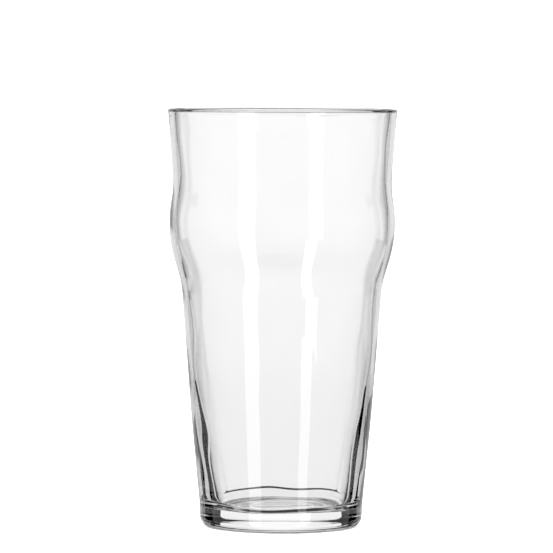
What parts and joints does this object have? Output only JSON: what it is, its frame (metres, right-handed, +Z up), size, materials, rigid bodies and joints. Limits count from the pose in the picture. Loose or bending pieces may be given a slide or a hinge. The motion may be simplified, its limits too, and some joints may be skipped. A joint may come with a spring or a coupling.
{
  "type": "pint glass",
  "caption": "Clear pub pint glass with a bulge below the rim, a tapered body, a thick floor and a domed underside.",
  "frame": {"origin": "centre of the footprint, on the table", "axes": "+Z up along the axis of the glass; it is round, so no side is the front"},
  "size_m": [0.0826, 0.0826, 0.1502],
  "materials": {
    "clear_glass": "clear, fire-polished rim"
  },
  "bodies": {
    "root": {"glass_body": "clear_glass"}
  },
  "joints": []
}
